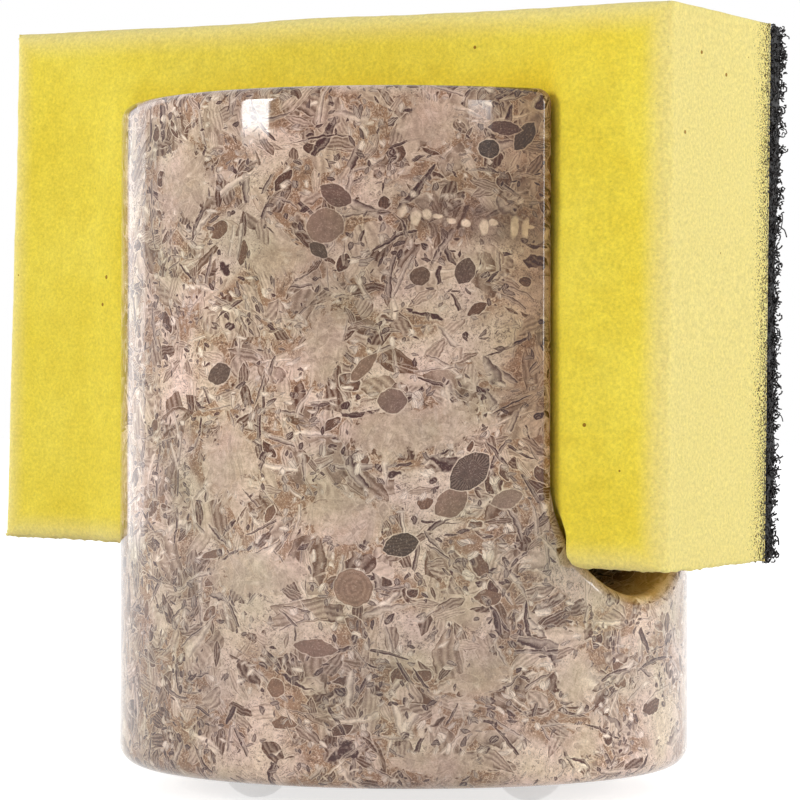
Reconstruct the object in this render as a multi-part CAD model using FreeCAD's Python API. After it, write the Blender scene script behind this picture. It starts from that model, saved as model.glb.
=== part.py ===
import FreeCAD, Part
import math
import os

# Sponge holder: a polished stone cylinder with a round-bottomed slot, four clear stick-on feet
# and the sponge that stands in the slot. Millimetres.
# The slot runs along X and is open at both ends. The front wall is on the -Y side and +Z is up.
# The origin is on the cylinder's axis, in the plane that the feet stand on.

# Stone cylinder
STONE_DIAMETER = 80.0
STONE_HEIGHT = 92.0
BASE_ROUNDING = 3.0
EDGE_ROUNDING = 2.0

# Slot: parallel walls that run down into a half-round floor
SLOT_WIDTH = 31.8
SLOT_DEPTH = 67.3

# Clear tapered feet, each stuck on with a thin disc of adhesive
FOOT_NAMES = ["front_foot", "right_foot", "rear_foot", "left_foot"]
FOOT_DIAMETER = 9.0
FOOT_HEIGHT = 3.1
FOOT_CONTACT_DIAMETER = 5.2
FOOT_INSET = 13.7
FOOT_TURN_DEG = -14.5
ADHESIVE_DIAMETER = 8.6
ADHESIVE_THICKNESS = 0.2

# Sponge: a foam block with a scouring pad laminated to its back, cut a little shorter along its top and lower
# at its back than at its front
SPONGE_LENGTH = 113.4
SPONGE_TOP_SHORTER = 1.3
SPONGE_HEIGHT = 74.4
SPONGE_BACK_LOWER = 1.6
FOAM_THICKNESS = 26.8
GLUE_THICKNESS = 0.2
PAD_THICKNESS = 3.0
FOAM_EDGE_ROUNDING = 2.0

# How the sponge stands in the slot
SPONGE_SHIFT = -5.4
SPONGE_TILT_DEG = 1.05
CORNER_SQUASH = 6.8
SPONGE_CLEARANCE = 0.3

# Cuts run past the faces that they open by this much
OVERRUN = 2.0
# Two places closer than this are the same place
SAME_PLACE = 0.001

# Heights and radii that follow from the sizes above
STONE_RADIUS = STONE_DIAMETER / 2
STONE_BOTTOM = FOOT_HEIGHT + ADHESIVE_THICKNESS
STONE_TOP = STONE_BOTTOM + STONE_HEIGHT
SLOT_RADIUS = SLOT_WIDTH / 2
SLOT_FLOOR = STONE_TOP - SLOT_DEPTH
FLOOR_AXIS = SLOT_FLOOR + SLOT_RADIUS
SPONGE_THICKNESS = FOAM_THICKNESS + GLUE_THICKNESS + PAD_THICKNESS
FOAM_FRONT = -SPONGE_THICKNESS / 2
GLUE_FRONT = FOAM_FRONT + FOAM_THICKNESS
PAD_FRONT = GLUE_FRONT + GLUE_THICKNESS

UP = FreeCAD.Vector(0, 0, 1)
ACROSS = FreeCAD.Vector(0, 1, 0)
ALONG = FreeCAD.Vector(1, 0, 0)


def slot_cutter(radius, top, length):
    """U-shaped prism along X: two walls, 2 * radius apart, over a half-round floor on the slot's own axis."""
    left_top = FreeCAD.Vector(-length / 2, -radius, top)
    left_spring = FreeCAD.Vector(-length / 2, -radius, FLOOR_AXIS)
    lowest = FreeCAD.Vector(-length / 2, 0, FLOOR_AXIS - radius)
    right_spring = FreeCAD.Vector(-length / 2, radius, FLOOR_AXIS)
    right_top = FreeCAD.Vector(-length / 2, radius, top)
    outline = Part.Wire([
        Part.LineSegment(left_top, left_spring).toShape(),
        Part.Arc(left_spring, lowest, right_spring).toShape(),
        Part.LineSegment(right_spring, right_top).toShape(),
        Part.LineSegment(right_top, left_top).toShape(),
    ])
    return Part.Face(outline).extrude(ALONG * length)


def is_outer_edge(solid, edge):
    """True for an edge of the top face or of the slot's mouths in the cylinder's side, and not for a seam."""
    if len(solid.ancestorsOfType(edge, Part.Face)) != 2:
        return False
    middle = edge.valueAt((edge.FirstParameter + edge.LastParameter) / 2)
    on_top = abs(edge.BoundBox.ZMin - STONE_TOP) < SAME_PLACE
    on_side = abs(math.hypot(middle.x, middle.y) - STONE_RADIUS) < SAME_PLACE
    above_base = middle.z > STONE_BOTTOM + BASE_ROUNDING + SAME_PLACE
    return on_top or (on_side and above_base)


def stone_body():
    """Turned cylinder with a rounded base, slotted right through, then eased along its rim and mouths."""
    blank = Part.makeCylinder(STONE_RADIUS, STONE_HEIGHT, FreeCAD.Vector(0, 0, STONE_BOTTOM), UP)
    base_rim = [edge for edge in blank.Edges if edge.BoundBox.ZMax < STONE_BOTTOM + SAME_PLACE]
    blank = blank.makeFillet(BASE_ROUNDING, base_rim)
    slot = slot_cutter(SLOT_RADIUS, STONE_TOP + OVERRUN, STONE_DIAMETER + 2 * OVERRUN)
    slotted = blank.cut(slot)
    outer_edges = [edge for edge in slotted.Edges if is_outer_edge(slotted, edge)]
    return slotted.makeFillet(EDGE_ROUNDING, outer_edges)


def foot():
    """One foot on the Z axis, which tapers down to the flat that it stands on."""
    return Part.makeCone(FOOT_CONTACT_DIAMETER / 2, FOOT_DIAMETER / 2, FOOT_HEIGHT)


def adhesive_disc():
    """The disc of adhesive that holds one foot, on the Z axis between the foot and the stone."""
    return Part.makeCylinder(ADHESIVE_DIAMETER / 2, ADHESIVE_THICKNESS, FreeCAD.Vector(0, 0, FOOT_HEIGHT), UP)


def foot_places():
    """Where the feet stand, evenly round a circle, counted from the front towards +X."""
    places = []
    reach = STONE_RADIUS - FOOT_INSET
    for number in range(len(FOOT_NAMES)):
        angle = math.radians(FOOT_TURN_DEG) + 2 * math.pi * number / len(FOOT_NAMES)
        places.append(FreeCAD.Vector(reach * math.sin(angle), -reach * math.cos(angle), 0))
    return places


def moved(shape, place):
    """A copy of the shape, shifted by the vector place."""
    copy = shape.copy()
    copy.translate(place)
    return copy


def sponge_seat():
    """Height of the sponge's underside at its middle: its lower corners are pressed into the round floor."""
    room = SLOT_RADIUS - SPONGE_CLEARANCE
    half_thickness = min(SPONGE_THICKNESS / 2, room)
    return FLOOR_AXIS - math.sqrt(room ** 2 - half_thickness ** 2) - CORNER_SQUASH


def stone_envelope():
    """The stone grown by the sponge's clearance, which shapes the foam where it is squeezed."""
    grown = Part.makeCylinder(STONE_RADIUS + SPONGE_CLEARANCE, STONE_HEIGHT + SPONGE_HEIGHT,
                              FreeCAD.Vector(0, 0, STONE_BOTTOM), UP)
    free = slot_cutter(SLOT_RADIUS - SPONGE_CLEARANCE, STONE_TOP + SPONGE_HEIGHT + OVERRUN,
                       STONE_DIAMETER + 2 * OVERRUN)
    return grown.cut(free)


def sponge_corners(depth):
    """The four corners of the sponge's upright outline at a depth between its front and its back."""
    bottom = SPONGE_BACK_LOWER / 2 * (depth - FOAM_FRONT) / SPONGE_THICKNESS
    top = SPONGE_HEIGHT - bottom
    corners = []
    for side, height in ((-1, bottom), (1, bottom), (1, top), (-1, top)):
        half_length = (SPONGE_LENGTH - SPONGE_TOP_SHORTER * height / SPONGE_HEIGHT) / 2
        corners.append(FreeCAD.Vector(side * half_length, depth, height))
    return corners


def flat_face(corners):
    """The flat face between corners that are listed in order."""
    return Part.Face(Part.makePolygon(corners + corners[:1]))


def sponge_layer(front, thickness, rounding=0):
    """One layer of the sponge, from its front face back by thickness, tilted and pressed into the slot."""
    near, far = sponge_corners(front), sponge_corners(front + thickness)
    faces = [flat_face(near), flat_face(far)]
    for number in range(len(near)):
        faces.append(flat_face([near[number - 1], near[number], far[number], far[number - 1]]))
    layer = Part.Solid(Part.Shell(faces))
    if rounding:
        front_edges = [edge for edge in layer.Edges if edge.BoundBox.YMax < front + SAME_PLACE]
        layer = layer.makeFillet(rounding, front_edges)
    layer.rotate(FreeCAD.Vector(0, 0, 0), ACROSS, SPONGE_TILT_DEG)
    layer.translate(FreeCAD.Vector(SPONGE_SHIFT, 0, sponge_seat()))
    return layer.cut(stone_envelope())


def build():
    """All the pieces, by node name."""
    pieces = {"stone_body": stone_body()}
    for name, place in zip(FOOT_NAMES, foot_places()):
        pieces[name] = moved(foot(), place)
        pieces[name + "_adhesive"] = moved(adhesive_disc(), place)
    pieces["sponge_foam"] = sponge_layer(FOAM_FRONT, FOAM_THICKNESS, FOAM_EDGE_ROUNDING)
    pieces["laminating_glue"] = sponge_layer(GLUE_FRONT, GLUE_THICKNESS)
    pieces["scouring_pad"] = sponge_layer(PAD_FRONT, PAD_THICKNESS)
    return pieces


os.makedirs("parts", exist_ok=True)
for name, shape in build().items():
    shape.exportStep(f"parts/{name}.step")
    solids = [round(solid.Volume, 1) for solid in shape.Solids]
    print(name, "valid" if shape.isValid() else "NOT VALID", "volumes", solids)
print("sponge seat", round(sponge_seat(), 2), "mm up, over a slot floor", round(SLOT_FLOOR, 2), "mm up")
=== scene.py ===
import math

import bpy
import numpy as np
from mathutils import Matrix, Vector, noise


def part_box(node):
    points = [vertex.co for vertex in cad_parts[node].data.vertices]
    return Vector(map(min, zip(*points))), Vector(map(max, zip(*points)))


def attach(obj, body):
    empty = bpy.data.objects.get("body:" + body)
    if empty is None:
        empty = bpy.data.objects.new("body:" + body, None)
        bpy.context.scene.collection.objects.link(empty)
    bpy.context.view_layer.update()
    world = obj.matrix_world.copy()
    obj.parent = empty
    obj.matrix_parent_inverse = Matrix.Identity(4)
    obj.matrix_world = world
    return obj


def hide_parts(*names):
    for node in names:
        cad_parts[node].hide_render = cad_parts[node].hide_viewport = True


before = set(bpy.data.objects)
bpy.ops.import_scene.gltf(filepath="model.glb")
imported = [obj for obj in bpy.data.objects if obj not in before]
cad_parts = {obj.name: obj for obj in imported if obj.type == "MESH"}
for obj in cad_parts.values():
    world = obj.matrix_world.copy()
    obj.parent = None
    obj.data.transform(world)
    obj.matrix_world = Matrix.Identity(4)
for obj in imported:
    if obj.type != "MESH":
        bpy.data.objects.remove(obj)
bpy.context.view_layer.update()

# Photograph, in pixels
PHOTO_SIZE_PX = 800
AXIS_PX = 404.7
HORIZON_PX = 408.2

# Camera, in metres and degrees, with its lens in millimetres
CAMERA_AZIMUTH_DEG = 35.0
CAMERA_DISTANCE = 0.502
CAMERA_HEIGHT = 0.0531
CAMERA_ROLL_DEG = 0.187
NEAREST_SEEN = 0.01
FARTHEST_SEEN = 20
LENS_MM = 160.0
SENSOR_MM = 36.0
FOCAL_PX = LENS_MM / SENSOR_MM * PHOTO_SIZE_PX

# Sizes of the CAD model that the soft pieces follow, in millimetres
STONE_RADIUS = 40.0
STONE_TOP = 95.3
SLOT_RADIUS = 15.9
FLOOR_AXIS = 43.9
SPONGE_LENGTH = 113.4
SPONGE_TOP_SHORTER = 1.3
SPONGE_HEIGHT = 74.4
SPONGE_BACK_LOWER = 1.6
SPONGE_SEAT = 32.82
SPONGE_SHIFT = -5.4
SPONGE_TILT_DEG = 1.05
FOAM_FRONT = -15.0
FOAM_BACK = 11.8
FOAM_ROUNDING = 2.0
PAD_FRONT = 12.0
PAD_BACK = 15.0
MM = 0.001

# Lengths below this one count as none
TINY = 1e-9


def new_object(name, data):
    obj = bpy.data.objects.new(name, data)
    bpy.context.scene.collection.objects.link(obj)
    return obj


# Camera

def camera_matrix():
    """The photograph's viewpoint, turned so that the stone's axis and the horizon fall on their pixels."""
    azimuth = math.radians(CAMERA_AZIMUTH_DEG)
    yaw = math.atan((AXIS_PX - PHOTO_SIZE_PX / 2) / FOCAL_PX)
    pitch = math.atan((HORIZON_PX - PHOTO_SIZE_PX / 2) / FOCAL_PX)
    turn = Matrix.Rotation(azimuth + yaw, 4, "Z")
    tip = Matrix.Rotation(math.pi / 2 + pitch, 4, "X")
    roll = Matrix.Rotation(math.radians(CAMERA_ROLL_DEG), 4, "Z")
    aside, ahead = CAMERA_DISTANCE * math.sin(azimuth), -CAMERA_DISTANCE * math.cos(azimuth)
    return Matrix.Translation((aside, ahead, CAMERA_HEIGHT)) @ turn @ tip @ roll


def add_camera():
    data = bpy.data.cameras.new("camera")
    data.lens = LENS_MM
    data.sensor_width = SENSOR_MM
    data.clip_start = NEAREST_SEEN
    data.clip_end = FARTHEST_SEEN
    camera = new_object("camera", data)
    camera.matrix_world = camera_matrix()
    bpy.context.scene.camera = camera


def on_stone(px, py):
    """The point of the stone's side, in millimetres, that the photograph shows at a pixel."""
    matrix = camera_matrix()
    eye = matrix.translation / MM
    right, up = (px - PHOTO_SIZE_PX / 2) / FOCAL_PX, (PHOTO_SIZE_PX / 2 - py) / FOCAL_PX
    ray = matrix.to_3x3() @ Vector((right, up, -1))
    a = ray.x ** 2 + ray.y ** 2
    b = eye.x * ray.x + eye.y * ray.y
    c = eye.x ** 2 + eye.y ** 2 - STONE_RADIUS ** 2
    return eye + ray * ((-b - math.sqrt(b * b - a * c)) / a)


# Node graphs

def srgb(red, green, blue):
    """A colour written as 0 to 255 screen values."""
    def linear(value):
        value /= 255
        return value / 12.92 if value <= 0.04045 else ((value + 0.055) / 1.055) ** 2.4
    return (linear(red), linear(green), linear(blue), 1)


class Graph:
    """Adds nodes to one tree and joins them. An input is a number, a vector, a colour or a node's socket."""

    def __init__(self, tree):
        self.tree = tree

    def add(self, kind, inputs=(), **settings):
        node = self.tree.nodes.new("ShaderNode" + kind)
        for name, value in settings.items():
            setattr(node, name, value)
        return self.fill(node, dict(inputs))

    def fill(self, node, inputs):
        for key, value in inputs.items():
            if isinstance(value, bpy.types.NodeSocket):
                self.tree.links.new(value, node.inputs[key])
            else:
                node.inputs[key].default_value = value
        return node

    def math(self, operation, *values):
        return self.add("Math", enumerate(values), operation=operation).outputs[0]

    def times(self, first, *others):
        for other in others:
            first = self.math("MULTIPLY", first, other)
        return first

    def vector(self, operation, *values):
        node = self.add("VectorMath", enumerate(values), operation=operation)
        return node.outputs["Value" if operation in ("LENGTH", "DISTANCE", "DOT_PRODUCT") else "Vector"]

    def scale(self, vector, factor):
        return self.add("VectorMath", {0: vector, "Scale": factor}, operation="SCALE").outputs[0]

    def split(self, value, kind="XYZ"):
        """The three parts of a vector, or of a colour where kind says Color."""
        return self.add("Separate" + kind, {0: value}).outputs

    def grey(self, value):
        return self.add("CombineColor", {0: value, 1: value, 2: value}).outputs[0]

    def mix(self, factor, first, second, blend="MIX"):
        return self.add("Mix", {0: factor, 6: first, 7: second}, data_type="RGBA",
                        blend_type=blend).outputs[2]

    def toned(self, color, tone, mask=None):
        """The colour times a tone, everywhere or where the mask is 1."""
        changed = self.mix(1.0, color, tone, "MULTIPLY")
        return changed if mask is None else self.mix(mask, color, changed)

    def steps(self, value, low, high, to_low=0.0, to_high=1.0):
        """Smooth step from low to high."""
        return self.add("MapRange", {0: value, 1: low, 2: high, 3: to_low, 4: to_high},
                        interpolation_type="SMOOTHSTEP").outputs[0]

    def spread(self, value, low, high, to_low, to_high):
        """Straight rise from low to high."""
        return self.add("MapRange", {0: value, 1: low, 2: high, 3: to_low, 4: to_high}).outputs[0]

    def noise(self, vector, scale, detail=2.0, roughness=0.5, output="Fac"):
        """Noise with a scale in cycles of one unit of the vector."""
        inputs = {"Vector": vector, "Scale": scale, "Detail": detail, "Roughness": roughness}
        return self.add("TexNoise", inputs).outputs[output]

    def ramp(self, value, *stops):
        node = self.add("ValToRGB", {0: value})
        elements = node.color_ramp.elements
        while len(elements) < len(stops):
            elements.new(1.0)
        for element, (position, color) in zip(elements, stops):
            element.position = position
            element.color = color
        return node.outputs[0]

    def bump(self, height, strength, distance):
        return self.add("Bump", {"Height": height, "Strength": strength, "Distance": distance}).outputs[0]

    def attribute(self, name):
        return self.add("Attribute", attribute_name=name).outputs["Fac"]

    def millimetres(self):
        """The place on the object, in millimetres of the CAD frame."""
        return self.scale(self.add("TexCoord").outputs["Object"], 1 / MM)


def new_material(name):
    material = bpy.data.materials.new(name)
    material.use_nodes = True
    tree = material.node_tree
    return material, Graph(tree), tree.nodes["Principled BSDF"]


def new_group(name, inputs, outputs):
    """A node group, what it is given and the node of its results; its sockets are listed by kind."""
    tree = bpy.data.node_groups.new(name, "ShaderNodeTree")
    for way, sockets in (("INPUT", inputs), ("OUTPUT", outputs)):
        for kind, labels in sockets.items():
            for label in labels:
                tree.interface.new_socket(label, in_out=way, socket_type="NodeSocket" + kind)
    given, results = tree.nodes.new("NodeGroupInput").outputs, tree.nodes.new("NodeGroupOutput")
    return tree, Graph(tree), given, results


def paint(node, material):
    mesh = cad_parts[node].data
    mesh.materials.clear()
    mesh.materials.append(material)


# Stone: fossil fragments set in a pale pinkish mud, cut through and polished

# What the reflected room adds to the polished stone, and the darkest colour under it, as linear light
POLISH_SHEEN = 0.04
DARKEST = 0.004
STONE_IOR = 1.5


def under_polish(red, green, blue):
    """The stone's own colour where it shows this one through the pale sheen of its polish."""
    return tuple(max(value - POLISH_SHEEN, DARKEST) for value in srgb(red, green, blue)[:3]) + (1,)


MIDDLE = (0.5, 0.5, 0.5)

# Mud: its noise, the values between which it turns bare as a ground and of fragments, and its colours
MUD_NOISE = (0.085, 1.0)
BARE_GROUND = (0.52, 0.62)
BARE_OF_FRAGMENTS = (0.54, 0.62)
MUD_BETWEEN = under_polish(160, 132, 111)
MUD_BARE = under_polish(210, 193, 181)

# How the pattern bends: noise scale and detail, and reach in millimetres
SLOW_BEND = (0.12, 0.0, 3.5)
QUICK_BEND = (0.9, 1.0, 0.5)
# The fragments lie mostly level, this much flatter upwards than along
BEDDING = (1.0, 1.0, 1.35)

# Grain: its noise, the values of pale and dark specks, and their strengths and colours in the mud and on top
GRAIN_NOISE = (4.4, 3.0, 0.8)
PALE_GRAIN = (0.56, 0.66)
DARK_GRAIN = (0.43, 0.33)
MUD_SPECKS = (0.6, under_polish(222, 207, 194), 0.55, under_polish(116, 88, 74))
TOP_SPECKS = (0.28, under_polish(234, 219, 205), 0.30, under_polish(72, 52, 42))

# Crushed shells cut on edge, drawn as contours of a swirl that a second noise breaks up
SWIRL_NOISE = (0.6, 3.0, 0.62)
SWIRL_TURNS = 40.0
BREAK_NOISE = (0.5, 1.0)
BREAK_RANGE = (0.40, 0.52)
# Pale lines and dark lines: contour values, strength and colour
EDGE_LINES = [
    (0.84, 0.97, 0.7, under_polish(228, 210, 195)),
    (-0.80, -0.96, 0.6, under_polish(80, 59, 49)),
]

# Cells of fragments: how random their places are, the smallest fragment as a share of the largest, and the
# second one's spread in cells, largest turn in radians and the factor that shuffles its tone
CELL_RANDOMNESS = 0.9
SMALLEST_SHARE = 0.45
SECOND_SPREAD = 0.9
SECOND_TURN = 40.0
SECOND_SHUFFLE = 7.3
# A fragment that is left out shrinks this many times
LEFT_OUT = 100.0
# Shift of the pattern from layer to layer, in millimetres
LAYER_SEED = (17.3, 5.1, 29.7)

# One fragment: layers, growth rings and ribs as turns of a wave, and widths and softness in millimetres
LAYER_TURNS = 22.0
RING_TURNS = 24.0
RIB_TURNS = 46.0
BORDER_WIDTH = 0.24
BORDER_TONES = (0.05, -0.32)
OUTLINE_SOFTNESS = 0.05
RIM_MIDDLE = 0.07
RIM_FADE = (0.11, 0.02)
RIM_COLOR = under_polish(220, 205, 192)

# Scattered fragments, lowest first: cell and half length in millimetres, half thickness as a share of that,
# share of empty cells, how far bare mud thins them out, darkest and lightest body, rim strength, and whether
# each cell holds two
FRAGMENT_LAYERS = [
    (8.0, 8.5, 0.26, 0.05, 0.70, (116, 90, 74), (204, 186, 172), 0.45, True),
    (4.2, 4.4, 0.30, 0.05, 0.60, (100, 72, 56), (210, 192, 179), 0.60, True),
    (4.8, 2.4, 0.50, 0.40, 0.50, (94, 68, 53), (136, 109, 93), 0.85, False),
    (5.5, 6.0, 0.07, 0.10, 0.40, (88, 62, 46), (228, 213, 201), 0.50, True),
    (1.5, 1.1, 0.34, 0.35, 0.35, (88, 62, 46), (238, 225, 214), 0.30, True),
]
SCATTERED_LAYERING = 0.22

# Fossils that stand out in the photograph: pixel, length and width in millimetres, turn in degrees, body
# colour and rim strength
PLACED_FOSSILS = [
    (451, 503, 5.0, 3.5, 35, (142, 119, 106), 0.8),
    (507, 499, 4.7, 2.4, 15, (150, 130, 119), 0.7),
    (401, 545, 4.9, 3.0, 14, (86, 73, 64), 0.7),
    (489, 149, 3.0, 2.5, 0, (88, 75, 69), 0.9),
    (525, 136, 4.8, 2.4, 52, (98, 84, 76), 0.7),
    (505, 128, 4.8, 1.9, -4, (110, 88, 83), 0.6),
    (336, 195, 4.9, 2.6, -28, (120, 98, 90), 0.5),
    (325, 226, 5.2, 4.5, 10, (148, 126, 114), 0.6),
    (319, 250, 3.0, 1.8, -35, (104, 90, 80), 0.4),
    (465, 271, 3.7, 2.7, 68, (110, 91, 83), 0.7),
    (420, 276, 2.8, 2.4, 20, (116, 95, 83), 0.5),
    (392, 401, 3.8, 3.2, 0, (134, 112, 104), 0.7),
    (364, 367, 5.2, 1.7, 48, (140, 117, 103), 0.6),
    (276, 688, 2.5, 2.4, 0, (138, 109, 92), 0.7),
    (315, 648, 6.2, 2.3, -5, (142, 117, 105), 0.7),
    (219, 374, 4.2, 2.8, 20, (104, 88, 80), 0.5),
]
PLACED_LIGHT = (186, 164, 148)
PLACED_LAYERING = 0.06
# The two with growth marks: darkest and lightest body, rim strength, and strength of their rings and ribs
MARKED_FOSSILS = [
    (470, 472, 6.6, 4.2, 40, (84, 69, 63), (150, 131, 121), 0.9, 0.0, 0.30),
    (353, 588, 5.3, 4.8, -20, (140, 114, 99), (174, 148, 131), 0.5, 0.25, 0.0),
]
MARKED_TONE = 0.25

# Larger patches of bare mud: pixel, length and width in millimetres, turn from level in degrees
PALE_PATCHES = [
    (430, 124, 7.5, 6.2, 0),
    (185, 182, 12.0, 9.0, 60),
    (280, 260, 9.0, 4.5, 5),
    (325, 345, 10.0, 5.0, 80),
    (412, 430, 17.0, 6.5, 8),
    (228, 462, 10.0, 8.5, 80),
    (345, 517, 11.0, 7.0, -10),
    (252, 574, 14.0, 5.0, 5),
    (483, 678, 7.0, 5.0, 30),
    (580, 742, 8.0, 3.4, 0),
    (440, 766, 11.0, 3.2, 0),
    (577, 676, 7.0, 5.0, 80),
]
PATCH_COLOR = under_polish(204, 185, 171)
PATCH_STRENGTH = 0.72
PATCH_HALF_DEPTH = 4.0
PATCH_OUTLINE = (1.06, 0.98)
RAGGED_NOISE = (0.42, 4.0, 0.68)
RAGGED_REACH = 2.4

# The long shell: pixel, turn, half sizes along, through and across, and its chambers, in millimetres
SHELL_PX = (478, 222)
SHELL_TURN_DEG = -7
SHELL_HALF_SIZES = (12.5, 4.0, 3.0)
SHELL_FADE = (1.15, 0.5)
SHELL_STRENGTH = 0.55
SHELL_COLOR = under_polish(116, 92, 80)
CHAMBERS_PER_MM = 0.55
CHAMBER_RISE = 1.6
CHAMBER_LEAST_HEIGHT = 0.3
CHAMBER_MORE_HEIGHT = 1.4
CHAMBER_NARROWNESS = 2.7
CHAMBER_OUTLINE = (1.15, 0.7)
CHAMBERS_END = (0.95, 0.85)
CHAMBER_COLOR = under_polish(228, 212, 196)

# Tones over everything: the noise, and the tones at a low and at a high noise value
TINT_NOISE = (0.07, 2.0, 0.5)
STONE_TONES = [
    ((1.1, 3.0, 0.65), (0.3, (0.80, 0.77, 0.74, 1)), (0.7, (1.18, 1.19, 1.20, 1))),
    (TINT_NOISE, (0.32, (0.80, 0.80, 0.76, 1)), (0.68, (1.12, 1.08, 1.07, 1))),
    ((0.13, 2.0, 0.5), (0.35, (1.03, 0.99, 0.99, 1)), (0.65, (0.98, 1.00, 0.88, 1))),
]
# Painted shade at the upper right, beside the sponge: heights and places along X of the bent pattern
UPPER_SHADE_HEIGHTS = (65.0, 105.0)
UPPER_SHADE_ALONG = (-12.0, 16.0)
UPPER_SHADE_TONE = (0.88, 0.84, 0.80, 1)
# Painted shade on the stone beside the slot: distances across from the slot's middle, and heights
SLOT_SHADE_ACROSS = (SLOT_RADIUS + 11.0, SLOT_RADIUS + 4.0)
SLOT_SHADE_HEIGHTS = (FLOOR_AXIS - 4.0, FLOOR_AXIS + 12.0)
SLOT_SHADE_TONE = (0.82, 0.73, 0.60, 1)
# Golden light at the slot's mouths: distances from the stone's axis and across the slot, and heights
GOLDEN_INNER = (STONE_RADIUS - 10.0, STONE_RADIUS - 4.0)
GOLDEN_OUTER = (STONE_RADIUS + 0.2, STONE_RADIUS - 1.2)
GOLDEN_ACROSS = (SLOT_RADIUS + 0.5, SLOT_RADIUS - 1.0)
GOLDEN_LOWER = (22.0, 25.0)
GOLDEN_UPPER = (FLOOR_AXIS, 36.0)
GOLDEN_STRENGTH = 0.55
GOLDEN_COLOR = srgb(232, 196, 122)
# The lower part: heights, the direction to the right in the photograph, and tones from left to right
LOWER_HEIGHTS = (36.0, 22.0)
VIEW_RIGHT = (0.819, 0.574, 0)
LOWER_ALONG = (8.0, 24.0)
LOWER_TONES = ((0.0, (0.86, 0.85, 0.845, 1)), (1.0, (1.10, 1.12, 1.14, 1)))
# Contrast and brightness of the whole
STONE_GAMMA = 1.09
STONE_GAIN = (1.13, 1.11, 1.11, 1)
# Gloss: grain values with their roughness, and strength and metres of the faint waves of the polish
ROUGHNESS_GRAIN = (0.2, 0.8)
ROUGHNESS_RANGE = (0.03, 0.09)
POLISH_BUMP = (0.06, 0.001)


def fossil_cells():
    """Two fragments in each random cell, each in its own coordinates: turned, with a half length of 1."""
    tree, graph, given, results = new_group(
        "fossil_cells", {"Vector": ["Vector", "Seed"], "Float": ["Cell", "Size", "Missing", "Thinning"]},
        {"Vector": ["First", "Second"], "Float": ["Half Length", "First Random", "Second Random"]})
    per_cell = graph.math("DIVIDE", 1.0, given["Cell"])
    place = graph.scale(graph.vector("ADD", given["Vector"], given["Seed"]), per_cell)
    inputs = {"Vector": place, "Scale": 1.0, "Randomness": CELL_RANDOMNESS}
    cells = graph.add("TexVoronoi", inputs).outputs
    color, position = cells["Color"], cells["Position"]
    chances = graph.split(color, "Color")
    local = graph.vector("SUBTRACT", place, position)
    centre = graph.vector("SUBTRACT", graph.scale(position, given["Cell"]), given["Seed"])
    mud = graph.steps(graph.noise(centre, *MUD_NOISE), *BARE_OF_FRAGMENTS)
    share = graph.math("MULTIPLY_ADD", chances[0], 1 - SMALLEST_SHARE, SMALLEST_SHARE)
    half = graph.times(given["Size"], share)
    limit = graph.math("MULTIPLY_ADD", mud, given["Thinning"], given["Missing"])
    missing = graph.math("LESS_THAN", chances[2], limit)
    grow = graph.math("DIVIDE", graph.math("MULTIPLY_ADD", missing, LEFT_OUT, 1.0), half)
    apart = graph.scale(graph.vector("SUBTRACT", color, MIDDLE), SECOND_SPREAD)
    aside = graph.vector("ADD", local, apart)
    for name, vector, turn in (("First", local, 2 * math.pi), ("Second", aside, SECOND_TURN)):
        inputs = {"Vector": vector, "Rotation": graph.scale(color, turn)}
        turned = graph.add("VectorRotate", inputs, rotation_type="EULER_XYZ").outputs[0]
        graph.fill(results, {name: graph.scale(turned, grow)})
    shuffled = graph.math("FRACT", graph.times(chances[1], SECOND_SHUFFLE))
    graph.fill(results, {"Half Length": graph.times(half, given["Cell"]), "First Random": chances[1],
                         "Second Random": shuffled})
    return tree


def wave(graph, value, turns):
    return graph.math("SINE", graph.times(value, turns))


def fragment_paint(name, marked):
    """Paints one lens, the overlap of two spheres, over the colour so far, with layers and a rim."""
    floats = ["Half Length", "Random", "Sphere", "Rim", "Layers"]
    if marked:
        floats += ["Rings", "Ribs"]
    inputs = {"Color": ["Color", "Dark", "Light"], "Vector": ["Local", "Offset"], "Float": floats}
    tree, graph, given, results = new_group(name, inputs, {"Color": ["Color"]})
    above = graph.vector("DISTANCE", given["Local"], given["Offset"])
    below = graph.vector("LENGTH", graph.vector("ADD", given["Local"], given["Offset"]))
    outside = graph.math("SUBTRACT", graph.math("MAXIMUM", above, below), given["Sphere"])
    edge = graph.times(outside, given["Half Length"])
    layer = wave(graph, graph.math("SUBTRACT", above, below), LAYER_TURNS)
    tone = graph.math("MULTIPLY_ADD", layer, given["Layers"], given["Random"])
    tone = graph.math("ADD", tone, graph.steps(edge, -BORDER_WIDTH, 0.0, *BORDER_TONES))
    if marked:
        parts = graph.split(given["Local"])
        around = graph.math("ARCTAN2", parts[2], parts[0])
        rings = graph.times(wave(graph, graph.vector("LENGTH", given["Local"]), RING_TURNS), given["Rings"])
        ribs = graph.times(wave(graph, around, RIB_TURNS), given["Ribs"])
        tone = graph.math("ADD", tone, graph.math("ADD", rings, ribs))
    body = graph.mix(tone, given["Dark"], given["Light"])
    painted = graph.mix(graph.steps(edge, OUTLINE_SOFTNESS, -OUTLINE_SOFTNESS), given["Color"], body)
    from_rim = graph.math("ABSOLUTE", graph.math("SUBTRACT", edge, RIM_MIDDLE))
    rim = graph.times(graph.steps(from_rim, *RIM_FADE), given["Rim"])
    graph.fill(results, {"Color": graph.mix(rim, painted, RIM_COLOR)})
    return tree


def lens(thickness):
    """The painter's inputs for a lens of half length 1 and the given half thickness."""
    sphere = (1 + thickness ** 2) / (2 * thickness)
    return {"Sphere": sphere, "Offset": (0, 0, sphere - thickness)}


def look(dark, light, rim, **more):
    """The painter's inputs for the colours of one fragment."""
    return {"Dark": under_polish(*dark), "Light": under_polish(*light), "Rim": rim, **more}


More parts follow.
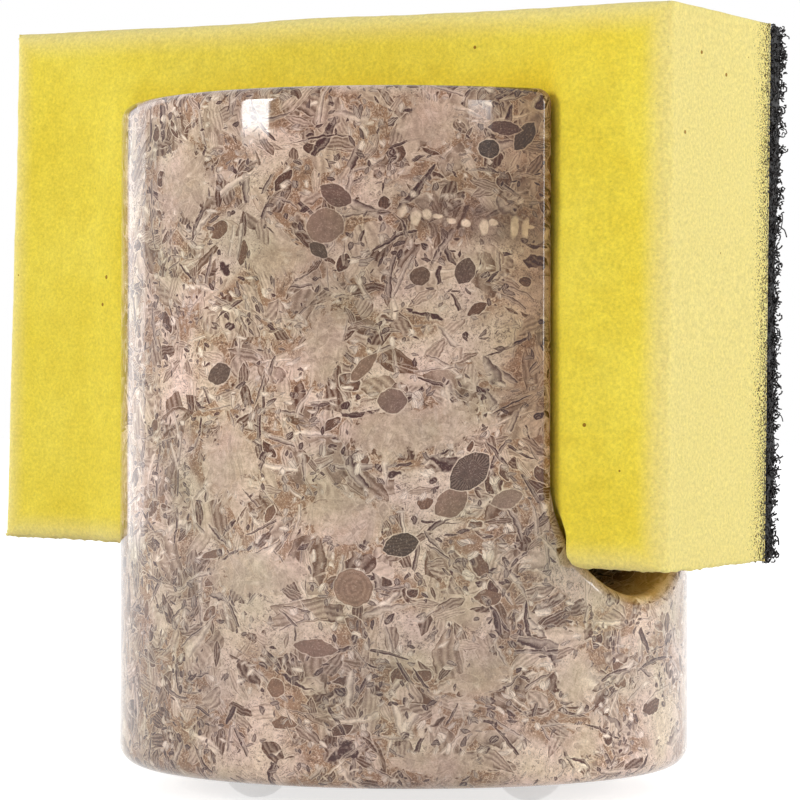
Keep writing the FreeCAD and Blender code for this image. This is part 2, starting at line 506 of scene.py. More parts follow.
def laid_on_stone(graph, place, px, py, turn, size):
    """Coordinates of a fossil in its own half sizes: X along it, Z across it, Y through the stone's side."""
    point = on_stone(px, py)
    outward = Vector((point.x, point.y, 0)).normalized()
    level = Vector((-outward.y, outward.x, 0))
    upward = Vector((0, 0, 1))
    angle = math.radians(turn)
    along = level * math.cos(angle) + upward * math.sin(angle)
    across = upward * math.cos(angle) - level * math.sin(angle)
    rotation = Matrix((along, across.cross(along), across)).transposed().to_euler("XYZ")
    inputs = {"Vector": place, "Location": point, "Rotation": rotation, "Scale": size}
    return graph.add("Mapping", inputs, vector_type="TEXTURE").outputs[0]


def speckled(graph, color, grain, pale_strength, pale, dark_strength, dark):
    color = graph.mix(graph.times(graph.steps(grain, *PALE_GRAIN), pale_strength), color, pale)
    return graph.mix(graph.times(graph.steps(grain, *DARK_GRAIN), dark_strength), color, dark)


def shell_edges(graph, place, color):
    """Thin broken lines, pale and dark, where crushed shells are cut on edge."""
    contour = wave(graph, graph.noise(place, *SWIRL_NOISE), SWIRL_TURNS)
    broken = graph.steps(graph.noise(place, *BREAK_NOISE), *BREAK_RANGE)
    for low, high, strength, line in EDGE_LINES:
        color = graph.mix(graph.times(graph.steps(contour, low, high), broken, strength), color, line)
    return color


def scattered_fragments(graph, place, color, painter):
    cells = fossil_cells()
    for number, layer in enumerate(FRAGMENT_LAYERS):
        cell, half, thickness, missing, thinning, dark, light, rim, both = layer
        inputs = {"Vector": place, "Cell": cell, "Seed": [part * number for part in LAYER_SEED],
                  "Size": half / cell, "Missing": missing, "Thinning": thinning}
        found = graph.add("Group", inputs, node_tree=cells).outputs
        for which in ("First", "Second") if both else ("First",):
            inputs = {"Color": color, "Local": found[which], "Half Length": found["Half Length"],
                      "Random": found[which + " Random"], **lens(thickness),
                      **look(dark, light, rim, Layers=SCATTERED_LAYERING)}
            color = graph.add("Group", inputs, node_tree=painter).outputs[0]
    return color


def pale_patches(graph, place, color):
    """Patches of mud with a ragged outline, which let a little of what lies under them show."""
    ragged = graph.noise(place, *RAGGED_NOISE)
    ragged = graph.math("MULTIPLY_ADD", ragged, RAGGED_REACH, -RAGGED_REACH / 2)
    for px, py, length, width, turn in PALE_PATCHES:
        local = laid_on_stone(graph, place, px, py, turn, (length / 2, PATCH_HALF_DEPTH, width / 2))
        reach = graph.math("ADD", graph.vector("LENGTH", local), ragged)
        color = graph.mix(graph.steps(reach, *PATCH_OUTLINE, 0.0, PATCH_STRENGTH), color, PATCH_COLOR)
    return color


def placed_fossil(graph, place, color, painter, spot, colors):
    """One fossil; its spot is pixel, length, width and turn, and its colours the painter's other inputs."""
    px, py, length, width, turn = spot
    local = laid_on_stone(graph, place, px, py, turn, (length / 2,) * 3)
    inputs = {"Color": color, "Local": local, "Half Length": length / 2, **lens(width / length), **colors}
    return graph.add("Group", inputs, node_tree=painter).outputs[0]


def placed_fossils(graph, place, color, painter):
    for *spot, body, rim in PLACED_FOSSILS:
        colors = look(body, PLACED_LIGHT, rim, Random=0.0, Layers=PLACED_LAYERING)
        color = placed_fossil(graph, place, color, painter, spot, colors)
    marked = fragment_paint("marked_fragment", True)
    for *spot, dark, light, rim, rings, ribs in MARKED_FOSSILS:
        colors = look(dark, light, rim, Random=MARKED_TONE, Layers=0.0, Rings=rings, Ribs=ribs)
        color = placed_fossil(graph, place, color, marked, spot, colors)
    return color


def chambered_shell(graph, place, color):
    """A long cut shell with a row of pale chambers of differing size."""
    local = laid_on_stone(graph, place, *SHELL_PX, SHELL_TURN_DEG, (1, 1, 1))
    parts = graph.split(local)
    shares = [1 / half for half in SHELL_HALF_SIZES]
    reach = graph.vector("LENGTH", graph.vector("MULTIPLY", local, shares))
    color = graph.mix(graph.steps(reach, *SHELL_FADE, 0.0, SHELL_STRENGTH), color, SHELL_COLOR)
    inputs = {"W": parts[0], "Scale": CHAMBERS_PER_MM, "Randomness": CELL_RANDOMNESS}
    row = graph.add("TexVoronoi", inputs, voronoi_dimensions="1D").outputs
    chances = graph.split(row["Color"], "Color")
    middle = graph.math("ADD", parts[2], CHAMBER_RISE / 2)
    level = graph.math("MULTIPLY_ADD", chances[1], -CHAMBER_RISE, middle)
    height = graph.math("MULTIPLY_ADD", chances[0], CHAMBER_MORE_HEIGHT, CHAMBER_LEAST_HEIGHT)
    across = graph.math("DIVIDE", level, height)
    along = graph.times(row["Distance"], CHAMBER_NARROWNESS)
    oval = graph.math("SQRT", graph.math("ADD", graph.times(along, along), graph.times(across, across)))
    inside = graph.times(graph.steps(oval, *CHAMBER_OUTLINE), graph.steps(reach, *CHAMBERS_END))
    return graph.mix(inside, color, CHAMBER_COLOR)


def regions(graph, place, bent, color):
    """Tones of regions: painted shade at the upper right and beside the slot, painted golden light at the
    slot's mouths, and the lower part.
    """
    bent_x, _, bent_z = graph.split(bent)
    # Painted shade at the upper right, beside the sponge
    upper_shade = graph.times(graph.steps(bent_z, *UPPER_SHADE_HEIGHTS), graph.steps(bent_x, *UPPER_SHADE_ALONG))
    color = graph.toned(color, UPPER_SHADE_TONE, upper_shade)
    _, y, z = graph.split(place)
    across = graph.math("ABSOLUTE", y)
    # Painted shade on the stone beside the slot
    painted_shade = graph.times(graph.steps(across, *SLOT_SHADE_ACROSS), graph.steps(z, *SLOT_SHADE_HEIGHTS))
    color = graph.toned(color, SLOT_SHADE_TONE, painted_shade)
    from_axis = graph.vector("LENGTH", graph.vector("MULTIPLY", place, (1, 1, 0)))
    # Painted golden light at the slot's mouths
    golden = graph.times(graph.steps(from_axis, *GOLDEN_INNER), graph.steps(from_axis, *GOLDEN_OUTER),
                         graph.steps(across, *GOLDEN_ACROSS), graph.steps(z, *GOLDEN_UPPER),
                         graph.steps(z, *GOLDEN_LOWER), GOLDEN_STRENGTH)
    color = graph.mix(golden, color, GOLDEN_COLOR)
    rightward = graph.steps(graph.vector("DOT_PRODUCT", place, VIEW_RIGHT), *LOWER_ALONG)
    return graph.toned(color, graph.ramp(rightward, *LOWER_TONES), graph.steps(z, *LOWER_HEIGHTS))


def wander(graph, place, scale, detail, reach):
    """A vector that changes slowly from place to place, up to half of reach to each side."""
    drift = graph.noise(place, scale, detail, output="Color")
    return graph.scale(graph.vector("SUBTRACT", drift, MIDDLE), reach)


def stone_material():
    material, graph, shader = new_material("polished_fossil_stone")
    place = graph.millimetres()
    quick = wander(graph, place, *QUICK_BEND)
    near = graph.vector("ADD", place, quick)
    bent = graph.vector("ADD", graph.vector("ADD", place, wander(graph, place, *SLOW_BEND)), quick)
    bent = graph.vector("MULTIPLY", bent, BEDDING)
    grain = graph.noise(place, *GRAIN_NOISE)
    painter = fragment_paint("fragment", False)

    mud = graph.steps(graph.noise(bent, *MUD_NOISE), *BARE_GROUND)
    color = speckled(graph, graph.mix(mud, MUD_BETWEEN, MUD_BARE), grain, *MUD_SPECKS)
    color = shell_edges(graph, bent, color)
    color = scattered_fragments(graph, bent, color, painter)
    color = pale_patches(graph, near, color)
    color = placed_fossils(graph, near, color, painter)
    color = chambered_shell(graph, near, color)
    color = speckled(graph, color, grain, *TOP_SPECKS)
    for pattern, low, high in STONE_TONES:
        color = graph.toned(color, graph.ramp(graph.noise(place, *pattern), low, high))
    color = regions(graph, place, bent, color)
    color = graph.add("Gamma", {0: color, 1: STONE_GAMMA}).outputs[0]
    roughness = graph.steps(grain, *ROUGHNESS_GRAIN, *ROUGHNESS_RANGE)
    waves = graph.bump(graph.noise(place, *TINT_NOISE), *POLISH_BUMP)
    graph.fill(shader, {"Base Color": graph.toned(color, STONE_GAIN), "Roughness": roughness,
                        "Normal": waves, "IOR": STONE_IOR})
    return material


# Sponge: how the slot squeezes it, in millimetres

# Swelling beside the slot's mouths: its start inside the stone's side, and its end outside it
MOUTH_BULGE = 1.3
BULGE_START = 4.0
BULGE_END = 9.0
BULGE_TOP_FADE = 6.0
# How far inside the stone's side the slot lets go, how much further between its walls, and over which length
RELEASE_DEPTH = 1.4
WALL_RELEASE_DEPTH = 2.0
RELEASE_LENGTH = 2.1
# The walls count from this far below the floor's axis, and fully this much higher
WALLS_BELOW_AXIS = 8.0
WALLS_BLEND = 7.0
SQUEEZE_TOP_FADE = 4.0
# How a seed moves a noise along X, Y and Z
SEED_SHIFT = (1.0, 1.7, 0.3)


def waviness(points, *waves):
    """Height of a rough surface at each point; a wave has a height, a length and a seed."""
    total = np.zeros(len(points))
    for height, length, seed in waves:
        shift = Vector([seed * part for part in SEED_SHIFT])
        total += height * np.array([noise.noise(Vector(point) / length + shift) for point in points])
    return total


def smooth(value):
    value = np.clip(value, 0, 1)
    return value * value * (3 - 2 * value)


def fade(distance, reach):
    """1 up to no distance, 0 from reach on."""
    return 1 - smooth(distance / reach)


def sponge_to_part(points):
    """From the sponge's own box, with its origin under its middle, to the CAD frame, both in millimetres."""
    tilt = math.radians(SPONGE_TILT_DEG)
    x, y, z = points.T
    depth = (y - FOAM_FRONT) / (PAD_BACK - FOAM_FRONT)
    z = z + (SPONGE_HEIGHT / 2 - z) * depth * SPONGE_BACK_LOWER / SPONGE_HEIGHT
    x = x * (1 - SPONGE_TOP_SHORTER / SPONGE_LENGTH * z / SPONGE_HEIGHT)
    return np.stack([x * math.cos(tilt) + z * math.sin(tilt) + SPONGE_SHIFT, y,
                     z * math.cos(tilt) - x * math.sin(tilt) + SPONGE_SEAT], axis=1)


def press(points, clearance):
    """Squeezes what lies in the stone's slot inside its walls and round floor, and lets it swell outside."""
    x, y, z = points.T.copy()
    room = SLOT_RADIUS - clearance
    from_side = np.hypot(x, y) - STONE_RADIUS
    above_top = z - STONE_TOP
    between_walls = smooth((z - FLOOR_AXIS + WALLS_BELOW_AXIS) / WALLS_BLEND)
    held = fade(from_side + RELEASE_DEPTH + WALL_RELEASE_DEPTH * between_walls, RELEASE_LENGTH)
    held = held * fade(above_top, SQUEEZE_TOP_FADE)
    swell = (room + MOUTH_BULGE * smooth((from_side + BULGE_START) / BULGE_START)) / -FOAM_FRONT - 1
    swell = swell * fade(from_side, BULGE_END) * fade(above_top, BULGE_TOP_FADE)
    y = np.where(y < 0, y * (1 + swell), y)
    below = z < FLOOR_AXIS
    reach = np.where(below, np.hypot(y, z - FLOOR_AXIS), np.abs(y))
    squeeze = np.where(reach > room, room / np.maximum(reach, TINY), 1.0)
    squeeze = 1 + (squeeze - 1) * held
    y = y * squeeze
    z = np.where(below, FLOOR_AXIS + (z - FLOOR_AXIS) * squeeze, z)
    return np.stack([x, y, z], axis=1)


def box_grid(low, high, step):
    """Closed box surface of small quads: points in millimetres and faces."""
    low, high = np.array(low, float), np.array(high, float)
    counts = np.maximum(np.round((high - low) / step).astype(int), 2)
    index, points, faces = {}, [], []

    def vertex(key):
        if key not in index:
            index[key] = len(points)
            points.append(low + (high - low) * np.array(key) / counts)
        return index[key]

    for axis in range(3):
        u, v = (axis + 1) % 3, (axis + 2) % 3
        for side in (0, counts[axis]):
            for i in range(counts[u]):
                for j in range(counts[v]):
                    corners = []
                    for di, dj in ((0, 0), (1, 0), (1, 1), (0, 1)):
                        key = [0, 0, 0]
                        key[axis], key[u], key[v] = int(side), i + di, j + dj
                        corners.append(vertex(tuple(key)))
                    faces.append(corners if side else corners[::-1])
    return np.array(points), faces


def rounded(points, low, high, radius, sharp_face):
    """Rounds a box surface's edges except those of one face in Y; also gives the outward directions."""
    inner_low, inner_high = np.array(low) + radius, np.array(high) - radius
    if sharp_face == "front":
        inner_low[1] = low[1]
    else:
        inner_high[1] = high[1]
    core = np.clip(points, inner_low, inner_high)
    out = points - core
    length = np.maximum(np.linalg.norm(out, axis=1, keepdims=True), TINY)
    return core + out / length * radius, out / length


def rounded_front(points, outward, low, high, radius):
    """Rounds the four edges of a box surface's front face more than the rest."""
    x, y, z = points.T
    sides = np.stack([x - low[0], high[0] - x, z - low[2], high[2] - z])
    inward = np.array([(1, 0, 0), (-1, 0, 0), (0, 0, 1), (0, 0, -1)], float)[np.argmin(sides, axis=0)]
    from_side = np.maximum(radius - sides.min(axis=0), 0)
    from_front = np.maximum(radius - y + low[1], 0)
    corner = (from_side > 0) & (from_front > 0)
    length = np.where(corner, np.hypot(from_side, from_front), radius)
    pull = np.where(corner, 1 - radius / length, 0)
    points = points + inward * (from_side * pull)[:, None] + np.outer(from_front * pull, (0, 1, 0))
    turned = -inward * (from_side / length)[:, None] + np.outer(from_front / length, (0, -1, 0))
    return points, np.where(corner[:, None], turned, outward)


def mesh_object(name, points, faces, material):
    mesh = bpy.data.meshes.new(name)
    mesh.from_pydata((np.asarray(points) * MM).tolist(), [], faces)
    mesh.polygons.foreach_set("use_smooth", [True] * len(mesh.polygons))
    mesh.materials.append(material)
    mesh.update()
    return new_object(name, mesh)


# Foam: the block's surface, in millimetres

FOAM_GRID = 0.6
FOAM_BACK_ROUNDING = 0.4
FOAM_INSET = 0.02
FOAM_CLEARANCE = 0.35
# Waves of the surface: height, length and seed
FOAM_WAVES = ((0.20, 16.0, 3.1), (0.06, 3.0, 8.2))
# Cut cells: length, seed and height of their waves, and how much higher these are along the lower edge
CELL_WAVE = (0.8, 1.4)
CELL_HEIGHT = 0.03
LOWER_EDGE_HEIGHT = 0.22
LOWER_EDGE = 1.6
# Reach of the paler foam from the ends, the underside and the top, and its strength at the underside;
# the paler foam is painted light, the whiter look of its lit, translucent edges
PALE_FROM_END = 4.6
PALE_FROM_BELOW = 4.5
PALE_FROM_TOP = 4.8
PALE_BELOW = 0.9
# Reach of the painted highlight on the upright edges, along the front and along the end
EDGE_FROM_END = 3.0
EDGE_FROM_FRONT = 3.5
# Painted shade near the stone, a deeper yellow: depth in its side where it is full, length of its fade,
# and fade above it
SHADE_DEPTH = 3.0
SHADE_LENGTH = 5.0
SHADE_TOP_FADE = 7.0

# Foam: colours and patterns
FOAM_COLORS = ((0.3, srgb(229, 207, 66)), (0.5, srgb(232, 212, 75)), (0.7, srgb(235, 217, 85)))
FOAM_BROAD_NOISE = (0.06, 2.0)
FOAM_BLOTCH_NOISE = (0.45, 3.0, 0.6)
FOAM_BLOTCHES = ((0.3, (0.95, 0.94, 0.88, 1)), (0.7, (1.04, 1.05, 1.08, 1)))
# Deeper yellow of the painted shade near the stone
FOAM_SHADE_TONE = (1.0, 0.94, 0.60, 1)
# Paler colour of the painted light at the ends, underside and top
FOAM_PALE = srgb(228, 212, 132)
# Painted light, brighter from the left end to the right end, and what the painted highlight on the upright
# edges adds
FOAM_ENDS = (-60.0, 55.0)
FOAM_END_LIGHT = (0.955, 1.05)
EDGE_HIGHLIGHT = 0.09
# Open cells: their noise, brightness between two noise values, and strength and metres of their bumps
CELL_NOISE = (2.2, 4.0, 0.75)
CELL_VALUES = (0.25, 0.75)
CELL_TONES = (0.76, 1.19)
CELL_BUMP = (0.3, 0.0003)
# Larger pores, darkened with painted shade: how many in a millimetre, the share of places without one, width
# and colour
PORES_PER_MM = 0.17
PORES_MISSING = 0.55
PORE_WIDTH = 0.056
PORE_SHADE = srgb(150, 112, 30)
# Flecks of pad fibre: their noise, and places in Y with the noise value below which they show
FLECK_NOISE = (4.4, 2.0, 0.6)
FLECK_PLACES = (FOAM_BACK - 7.5, FOAM_BACK + 0.5)
FLECK_LIMITS = (0.22, 0.50)
FLECK_COLOR = srgb(66, 50, 22)
FOAM_SURFACE = {"Roughness": 0.9, "Specular IOR Level": 0.15, "Sheen Weight": 0.1, "Subsurface Weight": 0.4,
                "Subsurface Radius": (1.0, 0.8, 0.4), "Subsurface Scale": 0.002}


def foam_material():
    """Yellow foam: fine open cells, a few larger pores with painted shade, painted light at its ends,
    underside, top and upright edges, painted shade near the stone, and flecked beside the pad.
    """
    material, graph, shader = new_material("yellow_open_cell_foam")
    place = graph.millimetres()
    x, y, _ = graph.split(place)
    fine = graph.noise(place, *CELL_NOISE)
    body = graph.ramp(graph.noise(place, *FOAM_BROAD_NOISE), *FOAM_COLORS)
    body = graph.toned(body, graph.ramp(graph.noise(place, *FOAM_BLOTCH_NOISE), *FOAM_BLOTCHES))
    # Painted shade near the stone
    body = graph.toned(body, FOAM_SHADE_TONE, graph.attribute("shade_near_stone"))
    # Painted light: paler towards the ends, underside and top
    body = graph.mix(graph.attribute("paleness"), body, FOAM_PALE)
    # Painted light: brighter towards the right end and along the upright edges
    tone = graph.steps(x, *FOAM_ENDS, *FOAM_END_LIGHT)
    tone = graph.math("MULTIPLY_ADD", graph.attribute("edge"), EDGE_HIGHLIGHT, tone)
    body = graph.toned(body, graph.grey(tone))
    body = graph.toned(body, graph.grey(graph.spread(fine, *CELL_VALUES, *CELL_TONES)))
    # Larger pores, darkened with painted shade
    pores = graph.add("TexVoronoi", {"Vector": place, "Scale": PORES_PER_MM, "Randomness": 1.0}).outputs
    chance = graph.split(pores["Color"], "Color")[0]
    width = graph.times(graph.math("GREATER_THAN", chance, PORES_MISSING), graph.times(chance, PORE_WIDTH))
    body = graph.mix(graph.math("LESS_THAN", pores["Distance"], width), body, PORE_SHADE)
    limit = graph.steps(y, *FLECK_PLACES, *FLECK_LIMITS)
    body = graph.mix(graph.math("LESS_THAN", graph.noise(place, *FLECK_NOISE), limit), body, FLECK_COLOR)
    graph.fill(shader, {"Base Color": body, "Normal": graph.bump(fine, *CELL_BUMP), **FOAM_SURFACE})
    return material


def add_foam():
    low = (-SPONGE_LENGTH / 2, FOAM_FRONT, 0)
    high = (SPONGE_LENGTH / 2, FOAM_BACK, SPONGE_HEIGHT)
    points, faces = box_grid(low, high, FOAM_GRID)
    points, outward = rounded(points, low, high, FOAM_BACK_ROUNDING, "back")
    points, outward = rounded_front(points, outward, low, high, FOAM_ROUNDING)
    x, y, z = points.T
    from_end = SPONGE_LENGTH / 2 - np.abs(x)
    # Painted light: paler towards the ends, underside and top
    pale = np.maximum(fade(from_end, PALE_FROM_END), PALE_BELOW * fade(z, PALE_FROM_BELOW))
    pale = np.maximum(pale, fade(SPONGE_HEIGHT - z, PALE_FROM_TOP))
    # Painted highlight on the upright edges
    edge = fade(from_end, EDGE_FROM_END) * fade(y - FOAM_FRONT, EDGE_FROM_FRONT)
    ragged = CELL_HEIGHT + LOWER_EDGE_HEIGHT * smooth((LOWER_EDGE - z) / LOWER_EDGE)
    rough = waviness(points, *FOAM_WAVES) + ragged * waviness(points, (1, *CELL_WAVE))
    points = points + outward * (rough - FOAM_INSET)[:, None]
    points = press(sponge_to_part(points), FOAM_CLEARANCE)
    foam = mesh_object("foam_block", points, faces, foam_material())
    # Painted shade near the stone
    painted_shade = fade(np.hypot(points[:, 0], points[:, 1]) - STONE_RADIUS + SHADE_DEPTH, SHADE_LENGTH)
    painted_shade = painted_shade * fade(points[:, 2] - STONE_TOP, SHADE_TOP_FADE)
    for name, values in (("paleness", pale), ("shade_near_stone", painted_shade), ("edge", edge)):
        attribute = foam.data.attributes.new(name, "FLOAT", "POINT")
        attribute.data.foreach_set("value", values.astype(np.float32))
    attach(foam, "sponge")
    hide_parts("sponge_foam")


# Scouring pad: a matted web and loose fibres, in millimetres

WEB_GRID = 0.55
WEB_INSET = 0.5
WEB_PAST_BACK = 0.25
WEB_ROUNDING = 0.4
WEB_CLEARANCE = 0.3
WEB_WAVES = ((0.30, 1.5, 5.3), (0.40, 0.7, 2.2))
WEB_COLORS = (srgb(2, 2, 2), srgb(17, 15, 15))
# The pad is thicker towards its top by this much, from this height on and over this rise
FLUFF = 0.7
FLUFF_START = 40.0
FLUFF_RISE = 22.0
# The web takes the extra thickness over this depth
FLUFF_DEPTH = 2.0
# Fibres on the back and on the rim: how many, and shortest, longest and joints of each
FIBRE_SEED = 7
BACK_FIBRES = 6000
RIM_FIBRES = 9000
BACK_CURLS = (1.4, 2.8, 5)
RIM_CURLS = (0.5, 1.2, 4)
FIBRE_RADII = (0.08, 0.15)
FIBRE_SIDES = 3
# Above this share of Y in its direction, a fibre's sides are laid out from X
STEEP = 0.8
FIBRE_CLEARANCE = 0.15
FIBRE_COLORS = (srgb(4, 3, 3), srgb(52, 45, 44))
# Spread of a fibre's bend and lift, in radians from joint to joint
FIBRE_BEND = 0.8
FIBRE_LIFT = 0.35
FIBRE_LIFT_KEPT = 0.6
FIBRE_LIFT_CHANGE = 0.3
# Where they start: how proud of the back, how deep in it and in the rim, how far below the top, and how much
# thicker the rim is
BACK_PROUD = 0.5
BACK_DEEP = 0.6
RIM_DEEP = 1.0
RIM_BELOW_TOP = 0.3
RIM_THICKER = 0.6
# How far the fibres may pass the pad's box
PAST_LOW = (0.3, 0.2, 0.3)
PAST_HIGH = (0.3, 1.6, 0.0)
# Look of the fibres: tint noise with its dark and light values, and noise, strength and metres of bumps
FIBRE_TINT_NOISE = (1.1, 3.0, 0.7)
FIBRE_TINT_VALUES = (0.35, 0.7)
FIBRE_BUMP_NOISE = (6.0, 2.0)
FIBRE_BUMP = (0.4, 0.0002)
FIBRE_SURFACE = {"Roughness": 0.5, "Specular IOR Level": 0.45}


def fibre_material(name, colors):
    material, graph, shader = new_material(name)
    place = graph.millimetres()
    tint = graph.ramp(graph.noise(place, *FIBRE_TINT_NOISE), *zip(FIBRE_TINT_VALUES, colors))
    bump = graph.bump(graph.noise(place, *FIBRE_BUMP_NOISE), *FIBRE_BUMP)
    graph.fill(shader, {"Base Color": tint, "Normal": bump, **FIBRE_SURFACE})
    return material


def fibre_paths(rng, start, length, joints):
    """Short curled paths from the given points, mostly in the plane of the pad."""
    count = len(start)
    heading = rng.uniform(0, 2 * math.pi, count)
    bend = rng.normal(0, FIBRE_BEND, count)
    lift = rng.normal(0, FIBRE_LIFT, count)
    path = np.zeros((count, joints, 3))
    here = start
    for joint in range(joints):
        path[:, joint] = here
        level = np.cos(lift)
        direction = np.stack([np.cos(heading) * level, np.sin(lift), np.sin(heading) * level], axis=1)
        here = here + direction * (length / (joints - 1))[:, None]
        heading = heading + bend
        lift = lift * FIBRE_LIFT_KEPT + rng.normal(0, FIBRE_LIFT_CHANGE, count)
    return path


def unit(vectors):
    return vectors / np.maximum(np.linalg.norm(vectors, axis=2, keepdims=True), TINY)


def tube_faces(count, rings, sides):
    """Faces of closed tubes whose points are listed tube by tube and ring by ring."""
    faces = []
    for tube in range(count):
        base = tube * rings * sides
        for ring in range(rings - 1):
            for side in range(sides):
                a = base + ring * sides + side
                b = base + ring * sides + (side + 1) % sides
                faces.append((a, b, b + sides, a + sides))
        faces.append([base + side for side in reversed(range(sides))])
        faces.append([base + (rings - 1) * sides + side for side in range(sides)])
    return faces


def tubes(path, radius):
    """Thin closed tubes along many short paths of the same number of joints: points and faces."""
    count, joints, _ = path.shape
    along = unit(np.gradient(path, axis=1))
    helper = np.where(np.abs(along[:, :, 1:2]) < STEEP, (0.0, 1.0, 0.0), (1.0, 0.0, 0.0))
    first = unit(np.cross(along, helper))
    second = np.cross(along, first)
    rings = []
    for side in range(FIBRE_SIDES):
        angle = 2 * math.pi * side / FIBRE_SIDES
        rings.append(path + (first * math.cos(angle) + second * math.sin(angle)) * radius[:, None, None])
    return np.stack(rings, axis=2).reshape(-1, 3), tube_faces(count, joints, FIBRE_SIDES)


def pad_fluff(points):
    """How much thicker the pad is at these points."""
    return FLUFF * smooth((points[:, 2] - FLUFF_START) / FLUFF_RISE)


def fibre_starts(rng, low, high):
    """Where the fibres of the back and of the rim start, in the sponge's own box."""
    back = rng.uniform(low, high, (BACK_FIBRES, 3))
    back[:, 1] = PAD_BACK + BACK_PROUD + pad_fluff(back) - rng.uniform(0.0, BACK_DEEP, len(back))
    rim = rng.uniform(low, high, (RIM_FIBRES, 3))
    length, _, height = high - low
    across = rng.random(len(rim)) < length / (length + height)
    far = rng.random(len(rim)) < 0.5
    depth = rng.uniform(0.0, RIM_DEEP, len(rim))
    level = np.where(far, high[2] - depth - RIM_BELOW_TOP, low[2] + depth)
    end = np.where(far, high[0] - depth, low[0] + depth)
    rim[:, 2] = np.where(across, level, rim[:, 2])
    rim[:, 0] = np.where(across, rim[:, 0], end)
    thicker = 1 + (RIM_THICKER + pad_fluff(rim)) / (PAD_BACK - PAD_FRONT)
    rim[:, 1] = PAD_FRONT + (rim[:, 1] - PAD_FRONT) * thicker
    return back, rim


def pad_web(low, high):
    """The dark matted web that fills most of the pad."""
    low = low + (WEB_INSET, 0, WEB_INSET)
    high = high + (-WEB_INSET, WEB_PAST_BACK, -WEB_INSET)
    points, faces = box_grid(low, high, WEB_GRID)
    points, outward = rounded(points, low, high, WEB_ROUNDING, "front")
    points = points + outward * waviness(points, *WEB_WAVES)[:, None]
    points[:, 1] += pad_fluff(points) * smooth((points[:, 1] - PAD_FRONT) / FLUFF_DEPTH)
    material = fibre_material("matted_black_web", WEB_COLORS)
    return mesh_object("pad_web", press(sponge_to_part(points), WEB_CLEARANCE), faces, material)


def pad_fibres(low, high):
    """The stiff curled fibres that stand out of the pad's back and rim."""
    rng = np.random.default_rng(FIBRE_SEED)
    back, rim = fibre_starts(rng, low, high)
    points, faces = np.zeros((0, 3)), []
    for start, (shortest, longest, joints) in ((back, BACK_CURLS), (rim, RIM_CURLS)):
        path = fibre_paths(rng, start, rng.uniform(shortest, longest, len(start)), joints)
        path = np.clip(path, low - PAST_LOW, high + PAST_HIGH)
        more_points, more_faces = tubes(path, rng.uniform(*FIBRE_RADII, len(path)))
        faces += [[corner + len(points) for corner in face] for face in more_faces]
        points = np.concatenate([points, more_points])
    material = fibre_material("black_scouring_fibre", FIBRE_COLORS)
    return mesh_object("pad_fibres", press(sponge_to_part(points), FIBRE_CLEARANCE), faces, material)


def add_pad():
    low = np.array((-SPONGE_LENGTH / 2, PAD_FRONT, 0))
    high = np.array((SPONGE_LENGTH / 2, PAD_BACK, SPONGE_HEIGHT))
    for piece in (pad_web(low, high), pad_fibres(low, high)):
        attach(piece, "sponge")
        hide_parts("scouring_pad")


# Glue film: a yellow film, crossed by the pad's black fibre ends

GLUE_NOISE = (2.6, 2.0, 0.6)
GLUE_COLORS = ((0.46, srgb(24, 22, 18)), (0.50, srgb(222, 204, 124)))
GLUE_ROUGHNESS = 0.7


def glue_material():
    material, graph, shader = new_material("flecked_glue_film")
    fleck = graph.noise(graph.millimetres(), *GLUE_NOISE)
    graph.fill(shader, {"Base Color": graph.ramp(fleck, *GLUE_COLORS), "Roughness": GLUE_ROUGHNESS})
    return material


# Feet: clear soft plastic domes and their adhesive

CLOUD_NOISE = (0.8, 3.0)
CLOUD_VALUES = (0.3, 0.7)
CLEAR_ROUGHNESS = (0.2, 0.35)
CLEAR_SURFACE = {"IOR": 1.45, "Alpha": 0.13}
RUBBER_COLORS = (srgb(228, 228, 226), srgb(240, 240, 238))
ADHESIVE_COLORS = (srgb(206, 205, 200), srgb(226, 225, 220))
DOME_RINGS = 12
DOME_SIDES = 48


def clear_material(name, colors):
    """Clear soft plastic with a faint cloudiness."""
    material, graph, shader = new_material(name)
    cloud = graph.noise(graph.millimetres(), *CLOUD_NOISE)
    tint = graph.ramp(cloud, *zip(CLOUD_VALUES, colors))
    roughness = graph.spread(cloud, 0.0, 1.0, *CLEAR_ROUGHNESS)
    graph.fill(shader, {"Base Color": tint, "Roughness": roughness, **CLEAR_SURFACE})
    return material


def add_foot(node, material):
    """A clear dome in the place of one plain tapered foot."""
    low, high = (np.array(corner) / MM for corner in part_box(node))
    middle, radius, height = (low + high) / 2, (high[0] - low[0]) / 2, high[2] - low[2]
    sphere = (radius ** 2 + height ** 2) / (2 * height)
    points = []
    for ring in range(1, DOME_RINGS + 1):
        reach = radius * ring / DOME_RINGS
        level = low[2] + sphere - math.sqrt(sphere ** 2 - reach ** 2)
        for side in range(DOME_SIDES):
            angle = 2 * math.pi * side / DOME_SIDES
            points.append((middle[0] + reach * math.cos(angle), middle[1] + reach * math.sin(angle), level))
    dome = mesh_object(node + "_dome", points, tube_faces(1, DOME_RINGS, DOME_SIDES), material)
    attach(dome, "holder")
    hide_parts(node)


# Studio, in metres

WHITE = (1, 1, 1, 1)
# Strength of the white room for rays that carry light; rays that are seen get the rest up to 1
ROOM_LIGHT = 0.59
FLOOR_HALF = 4
FLOOR_COLOR = (0.85, 0.85, 0.85, 1)
FLOOR_GLOW = 0.72
# Lamps: name, place, target, width and height, and watts
LAMPS = [
    ("left_softbox", (-0.401, -0.838, 0.310), (0, 0, 0.06), (0.205, 0.30), 4.0),
    ("right_softbox", (0.834, 0.337, 0.24), (0, 0, 0.05), (0.42, 0.34), 3.55),
    ("small_lamp", (0.838, -0.416, 0.190), (0, 0, 0.06), (0.15, 0.05), 0.18),
    ("left_strip", (-0.85, 0.16, 0.15), (0, 0, 0.06), (0.30, 0.9), 1.0),
    ("right_strip", (0.06, 0.9, 0.15), (0.03, 0, 0.06), (0.36, 0.9), 1.15),
]


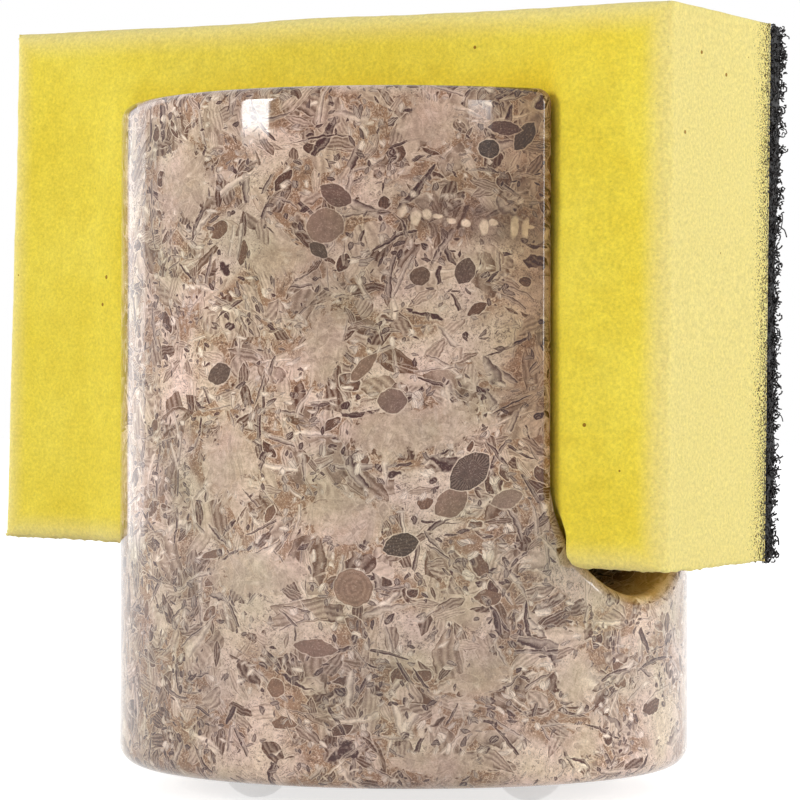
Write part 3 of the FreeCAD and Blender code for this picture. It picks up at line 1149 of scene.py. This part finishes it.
def seen_rays(graph):
    """1 for rays from the camera, from gloss and through clear plastic, and 0 for rays that carry light."""
    path = graph.add("LightPath").outputs
    direct = graph.math("MAXIMUM", path["Is Camera Ray"], path["Is Glossy Ray"])
    return graph.math("MAXIMUM", direct, path["Is Transmission Ray"])


def add_room():
    world = bpy.data.worlds.new("studio")
    bpy.context.scene.world = world
    world.use_nodes = True
    graph = Graph(world.node_tree)
    strength = graph.math("MULTIPLY_ADD", seen_rays(graph), 1 - ROOM_LIGHT, ROOM_LIGHT)
    graph.fill(world.node_tree.nodes["Background"], {"Color": WHITE, "Strength": strength})


def add_floor():
    """A white floor that looks as bright as the room and keeps the object's shadow."""
    mesh = bpy.data.meshes.new("floor")
    corners = [(x * FLOOR_HALF, y * FLOOR_HALF, 0) for x, y in ((-1, -1), (1, -1), (1, 1), (-1, 1))]
    mesh.from_pydata(corners, [], [(0, 1, 2, 3)])
    floor = new_object("floor", mesh)
    material, graph, shader = new_material("white_floor")
    glow = graph.times(seen_rays(graph), FLOOR_GLOW)
    graph.fill(shader, {"Base Color": FLOOR_COLOR, "Roughness": 1.0, "Specular IOR Level": 0.0,
                        "Emission Color": WHITE, "Emission Strength": glow})
    mesh.materials.append(material)


def add_area_light(name, place, target, size, power):
    data = bpy.data.lights.new(name, "AREA")
    data.shape = "RECTANGLE"
    data.size, data.size_y = size
    data.energy = power
    light = new_object(name, data)
    direction = Vector(target) - Vector(place)
    light.matrix_world = Matrix.Translation(place) @ direction.to_track_quat("-Z", "Y").to_matrix().to_4x4()


add_camera()
bpy.context.scene.view_settings.view_transform = "Standard"
add_room()
add_floor()
for lamp in LAMPS:
    add_area_light(*lamp)
paint("stone_body", stone_material())
rubber = clear_material("clear_rubber", RUBBER_COLORS)
adhesive = clear_material("clear_adhesive", ADHESIVE_COLORS)
for foot in ("front_foot", "right_foot", "rear_foot", "left_foot"):
    add_foot(foot, rubber)
    paint(foot + "_adhesive", adhesive)
paint("laminating_glue", glue_material())
add_foam()
add_pad()
